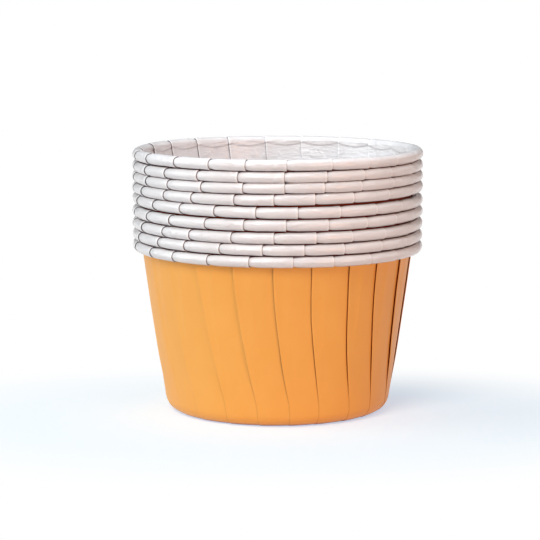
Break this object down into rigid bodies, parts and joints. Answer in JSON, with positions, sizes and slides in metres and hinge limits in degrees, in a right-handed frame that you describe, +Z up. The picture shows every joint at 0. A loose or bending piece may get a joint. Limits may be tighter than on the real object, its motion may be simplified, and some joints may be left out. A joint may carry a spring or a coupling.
{
  "type": "stack of cupcake liners",
  "caption": "Stack of nested round paper baking cups with pleated sloping walls and rolled rims; each liner lifts out of the one below.",
  "frame": {"origin": "centre of the lowest liner's base, on the table", "axes": "+Z up along the axis of the stack; the front faces -Y"},
  "size_m": [0.066, 0.066, 0.06],
  "materials": {
    "orange_paper": "matt printed paper outside",
    "white_paper": "film-laminated white paper inside and on the rolled rim"
  },
  "bodies": {
    "root": {"liner_1": "orange_paper", "liner_2": "white_paper", "liner_3": "white_paper", "liner_4": "white_paper", "liner_5": "white_paper", "liner_6": "white_paper", "liner_7": "white_paper", "liner_8": "white_paper", "liner_9": "white_paper"}
  },
  "joints": []
}
